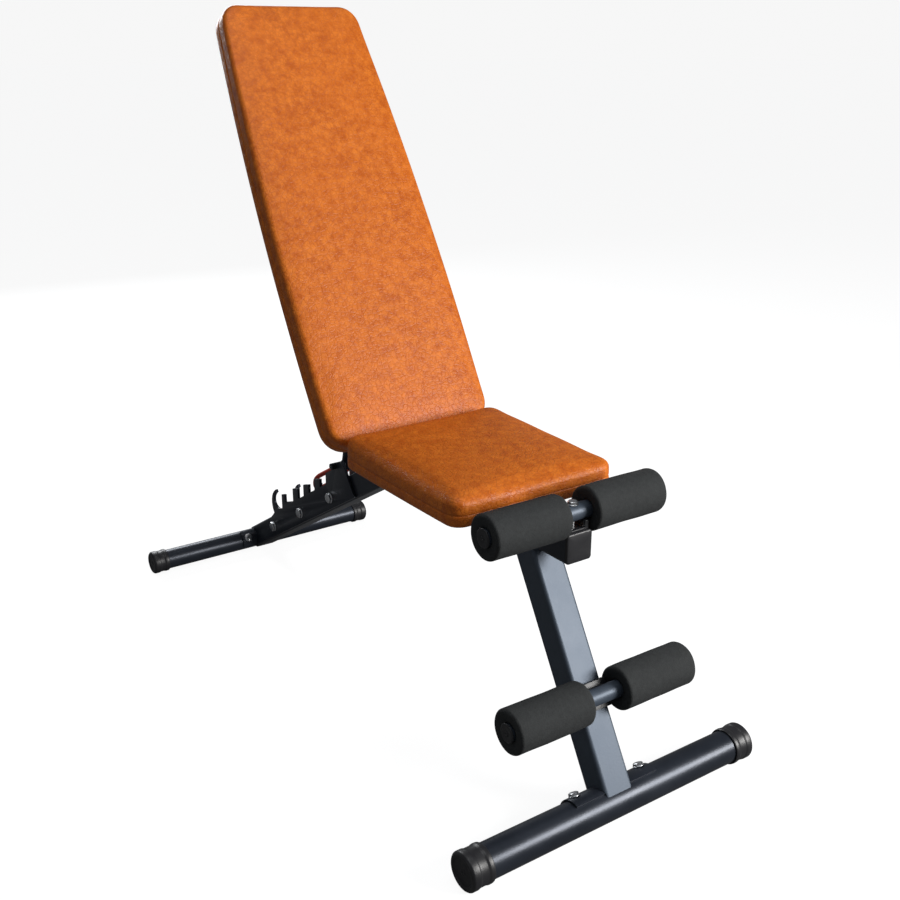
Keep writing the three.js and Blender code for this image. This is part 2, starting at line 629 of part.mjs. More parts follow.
function handlePath() {
  // a long hairpin in (along the beam, above it), from the strut's foot and back to it
  const points = [
    [2, -9], [30, -14], [60, -17], [135, -18], [152, -15], [157, -8], [150, 1], [128, 5], [60, 4], [2, 4],
  ];
  return new THREE.CatmullRomCurve3(points.map(([u, v]) => new THREE.Vector3(0, u, v)), false, 'catmullrom', 0.4);
}

function addStrut() {
  const group = groupAt(bench, pivot.x, pivot.y, -strutLean);
  const bar = [0, -strutLength];
  const topTube = cut(rodX(strutRadius, 2 * halfTube), boltTool);
  piece(group, 'strut_pivot_tube', topTube, paint);

  const length = strutLength + strutTail;
  const leg = rodZ(strutRadius, length, 0, 0, -length / 2, 20);
  const bore = rodZ(strutRadius - tubeWall, length + 20, 0, 0, -length / 2, 20);
  const topTool = rodX(strutRadius + touchGap, 60, 0, 0, 0, 24);
  const barTool = rodX(strutBarRadius + touchGap, 60, 0, ...bar, 16);
  piece(group, 'strut_leg', cut(leg, bore, topTool, barTool), paint);
  piece(group, 'strut_bar', rodX(strutBarRadius, 2 * strutBarReach, 0, ...bar, 16), paint);

  // the pull handle lies parallel to the beam while the strut is in its resting seat
  const turn = beamSlope + strutLean;
  const gripRadius = 4.5;
  const circle = new THREE.Shape().absarc(0, 0, gripRadius, 0, 2 * Math.PI, false);
  const grip = new THREE.ExtrudeGeometry(circle, { steps: 40, extrudePath: handlePath(), curveSegments: 3 });
  grip.rotateX(-turn).translate(0, ...bar);
  const clearLeg = rodZ(strutRadius + touchGap, 160, 0, 0, -strutLength, 20);
  const clearBar = rodX(strutBarRadius + touchGap, 60, 0, ...bar, 16);
  piece(group, 'strut_handle', cut(grip, clearLeg, clearBar), redCoat);
}
addStrut();

export default bench;
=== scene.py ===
import json
import math

import bmesh
import bpy
import numpy as np
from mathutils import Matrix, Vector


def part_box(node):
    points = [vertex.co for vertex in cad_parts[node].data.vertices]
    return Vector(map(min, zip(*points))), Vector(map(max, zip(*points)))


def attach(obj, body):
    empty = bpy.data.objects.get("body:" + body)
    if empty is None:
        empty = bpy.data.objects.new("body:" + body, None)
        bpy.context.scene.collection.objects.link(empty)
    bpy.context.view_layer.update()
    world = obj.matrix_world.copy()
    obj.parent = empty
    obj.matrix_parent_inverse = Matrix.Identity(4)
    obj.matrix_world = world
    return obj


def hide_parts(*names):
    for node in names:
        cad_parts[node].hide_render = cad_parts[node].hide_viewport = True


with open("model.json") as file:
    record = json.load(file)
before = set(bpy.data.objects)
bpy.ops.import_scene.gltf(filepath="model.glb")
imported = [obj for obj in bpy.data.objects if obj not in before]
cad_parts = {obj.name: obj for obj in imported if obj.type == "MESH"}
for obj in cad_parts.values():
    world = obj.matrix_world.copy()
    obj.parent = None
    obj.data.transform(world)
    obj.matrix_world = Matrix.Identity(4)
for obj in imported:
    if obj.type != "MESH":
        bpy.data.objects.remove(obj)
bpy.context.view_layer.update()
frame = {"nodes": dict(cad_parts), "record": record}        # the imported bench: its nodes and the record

mm = 0.001
scene = bpy.context.scene


def say(stage):
    print("bench:", stage, flush=True)


view = {"place": (-0.9498, -1.5306, 1.0376), "pitch": 70.17, "turn": -34.652, "lens": 45.11, "sensor": 36}

camera = bpy.data.objects.new("camera", bpy.data.cameras.new("camera"))
camera.data.lens = view["lens"]
camera.data.sensor_width = view["sensor"]
camera.location = view["place"]
camera.rotation_euler = (math.radians(view["pitch"]), 0, math.radians(view["turn"]))
scene.collection.objects.link(camera)
scene.camera = camera
scene.view_settings.view_transform = "Standard"
scene.view_settings.look = "None"


def operator(operation, flip=False):
    # one Math node; flip is for the reflected form, as in 1 - value
    def method(self, other):
        return self.maths(operation, *((other, self) if flip else (self, other)))
    return method


class Value:
    # a socket that can stand in sums and products
    def __init__(self, finish, socket):
        self.finish = finish
        self.socket = socket

    def maths(self, operation, *values):
        return self.finish.node("ShaderNodeMath", {"operation": operation}, dict(enumerate(values)))

    __add__, __radd__ = operator("ADD"), operator("ADD", flip=True)
    __sub__, __rsub__ = operator("SUBTRACT"), operator("SUBTRACT", flip=True)
    __mul__, __rmul__ = operator("MULTIPLY"), operator("MULTIPLY", flip=True)

    def between(self, low, high):  # 0 below low, 1 above high, straight between
        return self.finish.node("ShaderNodeMapRange", {"clamp": True},
                                {"Value": self, "From Min": low, "From Max": high})


class Finish:
    # one material; node() takes a node's type, its settings and the values or links of its sockets
    def __init__(self, name):
        self.material = bpy.data.materials.new(name)
        self.material.use_nodes = True
        self.tree = self.material.node_tree
        self.tree.nodes.clear()

    def node(self, kind, settings=None, sockets=None, out=0):
        made = self.tree.nodes.new(kind)
        for key, setting in (settings or {}).items():
            setattr(made, key, setting)
        for key, given in (sockets or {}).items():
            socket = made.inputs[key]
            if isinstance(given, Value):
                self.tree.links.new(given.socket, socket)
            elif isinstance(given, tuple) and len(given) == 3 and socket.type == "RGBA":
                socket.default_value = (*given, 1)
            else:
                socket.default_value = given
        return Value(self, made.outputs[out]) if made.outputs else None

    def place(self):
        return self.node("ShaderNodeTexCoord", out="Object")

    def noise(self, size, detail=3.0, rough=0.55, stretch=(1, 1, 1)):  # size of a blotch in metres
        where = self.node("ShaderNodeMapping", None, {"Vector": self.place(), "Scale": stretch})
        return self.node("ShaderNodeTexNoise", None,
                         {"Vector": where, "Scale": 0.5 / size, "Detail": detail, "Roughness": rough})

    def cells(self, size, feature="F1", warp=0.0):  # warp bends the cell walls by about that many metres
        where = self.place()
        if warp:
            shift = self.node("ShaderNodeTexNoise", None,
                              {"Vector": where, "Scale": 0.5 / size, "Detail": 3.0}, out="Color")
            where = self.node("ShaderNodeVectorMath", {"operation": "MULTIPLY_ADD"},
                              {0: shift, 1: (warp,) * 3, 2: where})
        return self.node("ShaderNodeTexVoronoi", {"feature": feature}, {"Vector": where, "Scale": 1 / size})

    def mix(self, amount, first, second):
        return self.node("ShaderNodeMix", {"data_type": "RGBA"}, {0: amount, 6: first, 7: second}, out=2)

    def bump(self, height, depth, strength):
        return self.node("ShaderNodeBump", None, {"Height": height, "Distance": depth, "Strength": strength})

    def done(self, **sockets):
        shader = self.node("ShaderNodeBsdfPrincipled", None,
                           {key.replace("_", " "): given for key, given in sockets.items()})
        self.node("ShaderNodeOutputMaterial", None, {"Surface": shader})
        return self.material


stage = {
    "floorHalf": 60.0, "floorColour": (0.22, 0.22, 0.222), "floorGlow": 0.90, "bounce": 0.16,
    "speckle": 0.004, "ambient": 0.13, "ambientColour": (0.93, 0.96, 1.0), "aim": (0.0, -0.05, 0.45),
    "lights": [  # name, place, watts, width, height, colour
        ("key", (1.75, -2.75, 1.35), 118, 1.3, 1.2, (1.0, 0.985, 0.965)),
        ("top", (-0.1, -0.5, 3.0), 16, 1.4, 1.4, (0.97, 0.985, 1.0)),
        ("rear", (0.35, 3.1, 1.7), 62, 1.8, 1.2, (0.95, 0.975, 1.0)),
        ("left", (-2.8, -0.4, 0.9), 1.8, 1.4, 1.2, (0.96, 0.98, 1.0)),
    ],
}


def makeWorld():
    # the camera sees the white that the floor shows far from the lights, and everything else a dim sky
    world = bpy.data.worlds.new("studio")
    world.use_nodes = True
    scene.world = world
    nodes, links = world.node_tree.nodes, world.node_tree.links
    nodes.clear()
    path, mix = nodes.new("ShaderNodeLightPath"), nodes.new("ShaderNodeMixShader")
    dim, white = nodes.new("ShaderNodeBackground"), nodes.new("ShaderNodeBackground")
    out = nodes.new("ShaderNodeOutputWorld")
    dim.inputs[0].default_value = (*stage["ambientColour"], 1)
    dim.inputs[1].default_value = stage["ambient"]
    far = stage["floorGlow"] + stage["floorColour"][0] * stage["ambient"]
    white.inputs[0].default_value = (far, far, far, 1)
    links.new(path.outputs["Is Camera Ray"], mix.inputs[0])
    links.new(dim.outputs[0], mix.inputs[1])
    links.new(white.outputs[0], mix.inputs[2])
    links.new(mix.outputs[0], out.inputs[0])


def makeFloor():
    # a white sweep that glows a little for the camera and bounces little light back on the bench
    half = stage["floorHalf"]
    mesh = bpy.data.meshes.new("floor")
    corners = [(-half, -half, 0), (half, -half, 0), (half, half, 0), (-half, half, 0)]
    mesh.from_pydata(corners, [], [(0, 1, 2, 3)])
    floor = bpy.data.objects.new("floor", mesh)
    scene.collection.objects.link(floor)
    paper = Finish("paperFloor")
    speckle = paper.noise(stage["speckle"], 2).between(0.2, 0.8)
    colour = paper.mix(speckle, stage["floorColour"], tuple(c * 1.02 for c in stage["floorColour"]))
    matt = paper.node("ShaderNodeBsdfDiffuse", None, {"Color": colour})
    dark = paper.node("ShaderNodeBsdfDiffuse", None, {"Color": (stage["bounce"],) * 3})
    glow = paper.node("ShaderNodeEmission", None, {"Color": (1.0, 1.0, 1.0), "Strength": stage["floorGlow"]})
    bright = paper.node("ShaderNodeAddShader", None, {0: matt, 1: glow})
    seen = paper.node("ShaderNodeLightPath", out="Is Camera Ray")
    both = paper.node("ShaderNodeMixShader", None, {0: seen, 1: dark, 2: bright})
    paper.node("ShaderNodeOutputMaterial", None, {"Surface": both})
    mesh.materials.append(paper.material)


def makeLights():
    for name, place, watts, width, height, colour in stage["lights"]:
        light = bpy.data.lights.new(name, "AREA")
        light.shape, light.size, light.size_y = "RECTANGLE", width, height
        light.energy, light.color = watts, colour
        lamp = bpy.data.objects.new(name, light)
        lamp.location = place
        back = np.array(place) - np.array(stage["aim"])
        flat = math.hypot(back[0], back[1])
        lamp.rotation_euler = (math.atan2(flat, back[2]), 0, math.atan2(back[0], -back[1]))
        scene.collection.objects.link(lamp)


makeWorld()
makeFloor()
makeLights()
say("stage is set")


def vinylFinish():
    # aged leather look: mottled tan, darker veins round irregular cells, pale flecks of painted sheen on the
    # crease ridges and a pebble grain
    skin = Finish("tanVinyl")
    mottle = skin.noise(0.0075, 7, 0.70)
    wide = skin.noise(0.06, 2, 0.5)
    vein = skin.cells(0.008, "DISTANCE_TO_EDGE", 0.009).between(0.0, 0.16)
    grain = skin.cells(0.0012)
    crease = skin.noise(0.0018, 5, 0.72, (0.6, 1, 1.6))
    base = skin.mix(mottle.between(0.36, 0.64), (0.50, 0.100, 0.006), (0.76, 0.200, 0.016))
    base = skin.mix((1 - vein) * 0.30, base, (0.40, 0.075, 0.006))
    base = skin.mix(wide.between(0.40, 0.72) * 0.35, base, (0.70, 0.165, 0.012))
    # painted sheen: pale flecks where the crease noise stands high, on the ridges of the creases
    sheenFleck = crease.between(0.60, 0.74)
    base = skin.mix(sheenFleck * 0.34, base, (0.90, 0.36, 0.11))
    height = vein * 0.55 + crease * 0.55 + grain * 0.35
    return skin.done(Base_Color=base, Roughness=0.34 + 0.16 * mottle.between(0.3, 0.7),
                     Specular_IOR_Level=0.32, Normal=skin.bump(height, 0.0006, 0.8))


def paintFinish(name, colour, rough, metallic=0.0):
    # powder coat: orange peel under a slow cloud of lighter and duller patches
    coat = Finish(name)
    peel = coat.noise(0.0016, 3, 0.5)
    cloud = coat.noise(0.04, 4, 0.6)
    lighter = tuple(c * 1.35 + 0.004 for c in colour)
    base = coat.mix(cloud.between(0.35, 0.75), colour, lighter)
    return coat.done(Base_Color=base, Roughness=rough + 0.10 * cloud.between(0.3, 0.8), Metallic=metallic,
                     Normal=coat.bump(peel, 0.00018, 0.5))


def foamFinish():
    # closed-cell foam: dark pores in a coarse, matt skin
    foam = Finish("foamSleeve")
    pores = foam.cells(0.0013)
    coarse = foam.noise(0.0035, 4, 0.65)
    base = foam.mix(coarse.between(0.3, 0.75), (0.024, 0.026, 0.027), (0.036, 0.039, 0.040))
    base = foam.mix(pores.between(0.0, 0.35), (0.012, 0.013, 0.014), base)
    return foam.done(Base_Color=base, Roughness=0.82 + 0.1 * coarse, Specular_IOR_Level=0.35,
                     Normal=foam.bump(pores * 0.6 + coarse * 0.7, 0.0006, 0.85))


def plasticFinish():
    moulded = Finish("blackPlastic")
    spark = moulded.noise(0.0009, 3, 0.6)
    cloud = moulded.noise(0.02, 3, 0.5)
    base = moulded.mix(cloud, (0.011, 0.011, 0.013), (0.022, 0.022, 0.025))
    return moulded.done(Base_Color=base, Roughness=0.33 + 0.14 * cloud, Normal=moulded.bump(spark, 0.0002, 0.5))


def zincFinish():
    # plated steel: a faint spangle, brushed along Z
    zinc = Finish("brightZinc")
    brushed = zinc.noise(0.0009, 4, 0.6, (1, 1, 5))
    spangle = zinc.cells(0.003)
    base = zinc.mix(spangle, (0.62, 0.64, 0.67), (0.86, 0.87, 0.88))
    return zinc.done(Base_Color=base, Metallic=1.0, Roughness=0.20 + 0.18 * brushed,
                     Normal=zinc.bump(brushed, 0.0001, 0.4))


def gripFinish():
    grip = Finish("redDip")
    ripple = grip.noise(0.002, 3, 0.55)
    base = grip.mix(ripple.between(0.3, 0.7), (0.55, 0.030, 0.010), (0.74, 0.055, 0.018))
    return grip.done(Base_Color=base, Roughness=0.30 + 0.15 * ripple, Normal=grip.bump(ripple, 0.0003, 0.5))


def boardFinish():
    # fibreboard under black backing cloth
    board = Finish("blackBacking")
    fibre = board.noise(0.0022, 5, 0.7, (1, 1, 0.25))
    cloud = board.noise(0.03, 3, 0.5)
    base = board.mix(fibre.between(0.35, 0.7), (0.012, 0.012, 0.013), (0.040, 0.038, 0.037))
    return board.done(Base_Color=base, Roughness=0.78 + 0.12 * cloud, Normal=board.bump(fibre, 0.0004, 0.7))


finishes = {
    "vinyl": vinylFinish(), "board": boardFinish(), "foam": foamFinish(), "plastic": plasticFinish(),
    "zinc": zincFinish(), "red_grip": gripFinish(),
    # painted highlight: a lighter copy of the frame's blue paint for the post_paint slot (the post and the roller
    # rods), standing in for the light their faces catch
    "post_paint": paintFinish("litBluePaint", (0.060, 0.078, 0.105), 0.44, 0.34),
    "black_paint": paintFinish("satinBlack", (0.010, 0.011, 0.013), 0.36),
    "frame_paint": paintFinish("glossBlue", (0.022, 0.027, 0.038), 0.30, 0.42),
}
say("finishes are mixed")


# shapes are in millimetres; a spot is a local frame: (y, z) of its origin and its lean in radians
def middle(node):
    low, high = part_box(node)
    return (low.y + high.y) / 2 / mm, (low.z + high.z) / 2 / mm


def placed(points, spot):
    # turns about X, so that +Z leans towards +Y by the spot's lean, then shifts and goes to metres
    y0, z0, lean = spot
    c, s = math.cos(lean), math.sin(lean)
    x, y, z = points[..., 0], points[..., 1], points[..., 2]
    return np.stack([x, y0 + y * c + z * s, z0 - y * s + z * c], -1) * mm


def alongAxis(grid, axis):
    # a grid built as (across, across, along) turned so that its last direction runs along the axis
    return grid[..., {"z": [0, 1, 2], "y": [0, 2, 1], "x": [2, 0, 1]}[axis]]


def fullTurn(steps):
    return np.arange(steps) * (2 * np.pi / steps)


def runOf(path):
    # distance along a path from its first point to each of its points
    return np.concatenate([[0], np.cumsum(np.linalg.norm(np.diff(path, axis=0), axis=1))])


def circleLoop(radius, steps=72):
    # a ring of equal steps: radius times (cos, sin)
    def loop(shrink=0.0):
        turn = fullTurn(steps)
        return (radius - shrink) * np.stack([np.cos(turn), np.sin(turn)], -1)
    return loop


def squareLoop(width, depth, corner, steps=7):
    # a rectangle whose corners are quarter circles, with one more point beside each so the flats stay flat
    beside = 0.6

    def loop(shrink=0.0):
        radius = max(corner - shrink, 0.3)
        turn = np.concatenate([[0.0], np.linspace(0, np.pi / 2, steps), [np.pi / 2]])
        hold = np.concatenate([[-beside], np.zeros(steps), [beside]])
        a, b = width / 2 - shrink - radius, depth / 2 - shrink - radius
        corners = []
        for k, (sx, sy) in enumerate(((1, 1), (-1, 1), (-1, -1), (1, -1))):
            angle = turn + k * np.pi / 2
            x = sx * a + radius * np.cos(angle) - hold * np.sin(angle)
            y = sy * b + radius * np.sin(angle) + hold * np.cos(angle)
            corners.append(np.stack([x, y], -1))
        return np.concatenate(corners)
    return loop


def tubeSkin(loop, wall, low, high, axis="z", edge=0.5):
    # up the outside, over the end, down the bore and back; low and high may depend on the point of the loop
    rows = []
    for shrink, end, back in ((0, low, edge), (0, high, -edge), (edge, high, 0), (wall - edge, high, 0),
                              (wall, high, -edge), (wall, low, edge), (wall - edge, low, 0), (edge, low, 0)):
        ring = loop(shrink)
        level = end(ring[:, 0], ring[:, 1]) if callable(end) else np.full(len(ring), float(end))
        rows.append(np.column_stack([ring, level + back]))
    return alongAxis(np.stack(rows), axis), True


def softened(profile, radius, steps=5):
    # every corner of a closed outline becomes a short quadratic curve from side to side
    points = np.asarray(profile, float)
    cuts = []
    for side in (np.roll(points, 1, 0) - points, np.roll(points, -1, 0) - points):
        long = np.linalg.norm(side, axis=1)
        cuts.append(points + (np.minimum(radius, long * 0.49) / long)[:, None] * side)
    t = np.linspace(0, 1, steps)[None, :, None]
    curve = (1 - t) ** 2 * cuts[0][:, None] + 2 * t * (1 - t) * points[:, None] + t ** 2 * cuts[1][:, None]
    return curve.reshape(-1, 2)


def turnedSkin(profile, axis="x", steps=72, at=(0, 0)):
    # a closed (radius, along) outline turned round the axis; `at` shifts it in the other two directions
    r, h = np.asarray(profile, float).T
    turn = fullTurn(steps)
    u, v = r[:, None] * np.cos(turn) + at[0], r[:, None] * np.sin(turn) + at[1]
    return alongAxis(np.stack([u, v, np.broadcast_to(h[:, None], u.shape)], -1), axis), True


def hexSkin(apothem, low, high, axis="x", steps=72, at=(0, 0)):
    # a hexagon whose corners are cut by a cone at the outer end: radius = the lesser of the two
    turn = fullTurn(steps)
    flat = apothem / np.cos((turn + np.pi / 6) % (np.pi / 3) - np.pi / 6)
    rows = []
    for share, cone in ((0.0, 1.16), (0.74, 1.16), (0.86, 1.06), (0.95, 0.96), (1.0, 0.86), (1.0, 0.45)):
        r = np.minimum(flat, apothem * cone)
        level = np.full(steps, low + (high - low) * share)
        rows.append(np.stack([r * np.cos(turn) + at[0], r * np.sin(turn) + at[1], level], -1))
    return alongAxis(np.stack(rows), axis), False


def rodSkin(radius, low, high, axis="x", steps=48, at=(0, 0), edge=0.6):
    # a plain round bar with a small chamfer at both ends
    turn = fullTurn(steps)
    rows = []
    for r, h in ((radius - edge, low), (radius, low + edge), (radius, high - edge), (radius - edge, high)):
        level = np.full(steps, float(h))
        rows.append(np.stack([r * np.cos(turn) + at[0], r * np.sin(turn) + at[1], level], -1))
    return alongAxis(np.stack(rows), axis), False


def beadSkin(path, normal, radius, pitch=2.6, closed=True, steps=10, ripple=0.16):
    # a weld: a small circle carried along the path, its radius rippling once per pitch
    gap = np.roll(path, -1, 0) - np.roll(path, 1, 0)
    if not closed:
        gap[0], gap[-1] = path[1] - path[0], path[-1] - path[-2]
    along = gap / np.linalg.norm(gap, axis=1)[:, None]
    side = np.cross(along, normal)
    side /= np.linalg.norm(side, axis=1)[:, None]
    up = np.cross(side, along)
    r = (radius * (1 + ripple * np.sin(runOf(path) * 2 * np.pi / pitch)))[:, None, None]
    turn = fullTurn(steps)[None, :, None]
    return path[:, None] + r * (np.cos(turn) * up[:, None] + np.sin(turn) * side[:, None]), closed


def spread(path, count):
    # the same closed path with points at equal distances
    loop = np.vstack([path, path[:1]])
    run = runOf(loop)
    want = np.linspace(0, run[-1], count, endpoint=False)
    return np.stack([np.interp(want, run, loop[:, k]) for k in range(loop.shape[1])], -1)


def skinMesh(name, skins, sharp):
    # each skin is a grid of points closed round its columns, and round its rows or flat at both ends
    points, faces, start = [], [], 0
    for grid, loopRows in skins:
        rows, cols = grid.shape[:2]
        r = np.arange(rows if loopRows else rows - 1)[:, None]
        c = np.arange(cols)[None, :]
        r2, c2 = (r + 1) % rows, (c + 1) % cols
        corners = (r * cols + c, r * cols + c2, r2 * cols + c2, r2 * cols + c)
        quads = np.stack(np.broadcast_arrays(*corners), -1)
        faces += (quads.reshape(-1, 4) + start).tolist()
        if not loopRows:
            faces.append(list(range(start + cols - 1, start - 1, -1)))
            faces.append(list(range(start + (rows - 1) * cols, start + rows * cols)))
        points.append(grid.reshape(-1, 3))
        start += rows * cols
    mesh = bpy.data.meshes.new(name)
    mesh.from_pydata(np.concatenate(points), [], faces)
    return outward(mesh, sharp)


def outward(mesh, sharp):
    work = bmesh.new()
    work.from_mesh(mesh)
    bmesh.ops.recalc_face_normals(work, faces=work.faces)
    work.to_mesh(mesh)
    work.free()
    mesh.shade_smooth()
    mesh.set_sharp_from_angle(angle=math.radians(sharp))
    return mesh


slotOf = {row["node"]: row["material_slot"] for row in frame["record"]["subparts"]}


def piece(name, mesh, body, node):
    # one finished piece that rides on a body, stands for its CAD node and takes its slot's finish
    obj = bpy.data.objects.new(name, mesh)
    scene.collection.objects.link(obj)
    obj.data.materials.append(finishes[slotOf[node]])
    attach(obj, body)
    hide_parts(node)
    return obj


def skinPiece(name, skins, spot, body, node, sharp=32.0):
    return piece(name, skinMesh(name, [(placed(grid, spot), loop) for grid, loop in skins], sharp), body, node)


def bevelledCopy(name, node, body, width):
    # the CAD shape itself with its doubles merged, its flats joined and its edges broken
    mesh = frame["nodes"][node].data.copy()
    mesh.name = name
    mesh.materials.clear()
    work = bmesh.new()
    work.from_mesh(mesh)
    bmesh.ops.remove_doubles(work, verts=work.verts, dist=2e-5)
    bmesh.ops.dissolve_limit(work, angle_limit=math.radians(0.6), verts=work.verts, edges=work.edges)
    work.to_mesh(mesh)
    work.free()
    mesh.shade_smooth()
    obj = piece(name, mesh, body, node)
    bevel = obj.modifiers.new("edges", "BEVEL")
    bevel.width, bevel.segments = width * mm, 3
    bevel.limit_method, bevel.angle_limit = "ANGLE", math.radians(30)
    bevel.harden_normals = True


# local frames of the bench's parts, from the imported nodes
lean = {"post": math.radians(29.7), "back": math.radians(30.3)}
bendY = -47.5       # where the rail's middle line meets the beam's

frontFoot = (*middle("front_base_tube"), 0.0)
rearFoot = (*middle("rear_base_tube"), 0.0)
postSpot = (*frontFoot[:2], lean["post"])
railSpot = (bendY, middle("seat_rail")[1], 0.0)
beamLean = math.atan2(railSpot[1] - rearFoot[1], rearFoot[0] - railSpot[0])
beamSpot = (*railSpot[:2], beamLean)
beamLength = math.hypot(railSpot[1] - rearFoot[1], rearFoot[0] - railSpot[0])
hingeSpot = (*middle("hinge_tube"), 0.0)
backSpot = (*hingeSpot[:2], lean["back"])
upperRod = (*middle("upper_roller_rod"), 0.0)
lowerRod = (*middle("lower_roller_rod"), 0.0)
pivotSpot = (*middle("strut_pivot_tube"), 0.0)
barSpot = (*middle("strut_bar"), 0.0)
strutLength = math.dist(pivotSpot[:2], barSpot[:2])
strutSpot = (*pivotSpot[:2], math.asin((pivotSpot[0] - barSpot[0]) / strutLength))

sides = (("left", -1), ("right", 1))
feet = {
    "front": {"spot": frontFoot, "radius": 25, "cap": 28, "capLength": 36, "length": 525, "saddle": 150,
              "boltX": 61, "lean": lean["post"]},
    "rear": {"spot": rearFoot, "radius": 20, "cap": 23, "capLength": 32, "length": 505, "saddle": 110,
             "boltX": 42, "lean": beamLean - math.pi / 2},
}
footTube = {"wall": 2, "plugged": 4.3, "steps": 112}
saddle = {"thick": 3, "arc": 48, "gap": 0.3}
saddleBolt = {"radius": 4, "below": 16, "flange": 8.3, "head": 6.6, "rise": 3.9}


def capOutline(r, cap, tall, half):
    # (radius, along): collar bead, slight waist, wider end ring, dished end face, then the plug back to the tube
    collar = [(r + 0.3, half - tall), (cap - 0.6, half - tall), (cap - 0.1, half - tall + 3),
              (cap - 0.1, half - tall + 7)]
    waist = [(cap - 1.2, half - tall + 9.5), (cap - 1.2, half - 15)]
    ring = [(cap, half - 12), (cap, half - 3), (cap - 3, half), (cap - 7, half)]
    dish = [(cap - 8.5, half - 1.6), (5, half - 1.6), (4, half - 0.9), (0.8, half - 0.9)]
    inside = [(0.8, half - 4.2), (r + 0.3, half - 4.2)]
    return collar + waist + ring + dish + inside


def saddleSkin(inner, outer, long):
    # an arc strip carried along the foot, its outline shrunk at both ends to round them
    reach = math.radians(saddle["arc"])
    arc = np.linspace(-reach, reach, 25)
    over = np.stack([np.sin(arc), np.cos(arc)], -1)
    rows = []
    for shrink, x in ((0.6, -long), (0.15, -long + 0.3), (0, -long + 0.8),
                      (0, long - 0.8), (0.15, long - 0.3), (0.6, long)):
        ring = np.concatenate([(outer - shrink) * over, (inner + shrink) * over[::-1]])
        rows.append(np.column_stack([np.full(len(ring), float(x)), ring]))
    return np.stack(rows), False


def makeFoot(name, foot):
    r, cap, half = foot["radius"], foot["cap"], foot["length"] / 2
    end = half - footTube["plugged"]
    tube = tubeSkin(circleLoop(r, footTube["steps"]), footTube["wall"], -end, end, "x")
    skinPiece(name + "FootTube", [tube], foot["spot"], "frame", name + "_base_tube")
    for label, side in sides:
        # the cap is cut flat where it stands on the floor
        outline = softened(capOutline(r, cap, foot["capLength"], half), 1.3, 4)
        grid, loop = turnedSkin(outline, "x", 96)
        grid[..., 0] *= side
        grid[..., 2] = np.maximum(grid[..., 2], 0.5 - cap)
        skinPiece(f"{name}FootCap{label.title()}", [(grid, loop)], foot["spot"], "frame",
                  f"{name}_base_cap_{label}")
    inner = r + saddle["gap"]
    outer = inner + saddle["thick"]
    spot = (*foot["spot"][:2], foot["lean"])
    skinPiece(name + "Saddle", [saddleSkin(inner, outer, foot["saddle"] / 2)], spot, "frame", name + "_saddle",
              sharp=28)
    # bolts: shank, flange and chamfered hexagon, standing on the saddle
    top, bolt = outer + saddle["gap"], saddleBolt
    flange = [(0.4, top + 0.9), (0.4, top), (bolt["flange"], top), (bolt["flange"], top + 0.7),
              (bolt["head"], top + 1.4), (0.4, top + 1.4)]
    for label, side in sides:
        at = (side * foot["boltX"], 0)
        skins = [rodSkin(bolt["radius"], top - bolt["below"], top + 1, "z", at=at),
                 turnedSkin(flange, "z", at=at),
                 hexSkin(bolt["head"], top + 1.0, top + 1.0 + bolt["rise"], "z", at=at)]
        skinPiece(f"{name}SaddleBolt{label.title()}", skins, spot, "frame", f"{name}_saddle_bolt_{label}")


for name, foot in feet.items():
    makeFoot(name, foot)
say("feet stand")

post = {"width": 50, "depth": 45, "corner": 5.5, "wall": 2, "weld": 2.0}
rail = {"size": 45, "corner": 5.0, "wall": 2, "weld": 2.0, "plugCorner": 3, "plugClear": 0.3, "plugDepth": 7.0}
seamProud = 0.3     # how far a weld's middle line stands outside its tube


def footCope(foot):
    # where a tube meets the foot: on the saddle near the middle, on the bare tube outside it
    r = foot["radius"] + saddle["gap"]
    over = r + saddle["thick"] + saddle["gap"]
    edge = over * math.sin(math.radians(saddle["arc"] + 0.7))

    def level(across):
        on = np.sqrt(np.maximum(over ** 2 - across ** 2, 0))
        off = np.sqrt(np.maximum(r ** 2 - across ** 2, 0))
        return np.where(np.abs(across) < edge, on, off)
    return level


def makePost():
    cope = footCope(feet["front"])
    reach = (railSpot[1] - rail["size"] / 2 - saddle["gap"] - frontFoot[1]) / math.cos(lean["post"])
    slope = math.tan(lean["post"])
    loop = squareLoop(post["width"], post["depth"], post["corner"])
    tube = tubeSkin(loop, post["wall"], lambda x, y: cope(y), lambda x, y: reach + y * slope)
    ring = spread(loop(0.0), 420)
    top = np.column_stack([ring * (1 + 0.4 / 25), reach + ring[:, 1] * slope - 0.8])
    up = np.array([0, -math.sin(lean["post"]), math.cos(lean["post"])])
    skinPiece("frontPost", [tube, beadSkin(top, up, post["weld"])], postSpot, "frame", "front_post")


def makeRailCap(front):
    # a pillow face with a step all round, and the plug behind it
    size, rows = rail["size"], []
    for shrink, y in ((0.0, -0.3), (0.0, -2.4), (0.5, -3.5), (1.5, -4.2), (3.0, -4.5), (9.0, -4.9),
                      (15.0, -5.0)):
        ring = squareLoop(size, size, rail["corner"])(shrink)
        rows.append(np.column_stack([ring[:, 0], np.full(len(ring), y), ring[:, 1]]))
    inner = size - 2 * (rail["wall"] + rail["plugClear"])
    ring = squareLoop(inner, inner, rail["plugCorner"])(0.0)
    stub = [np.column_stack([ring[:, 0], np.full(len(ring), y), ring[:, 1]]) for y in (-1.0, rail["plugDepth"])]
    skinPiece("seatRailCap", [(np.stack(rows), False), (np.stack(stub), False)],
              (front + railSpot[0], railSpot[1], 0.0), "frame", "seat_rail_end_cap", sharp=40)


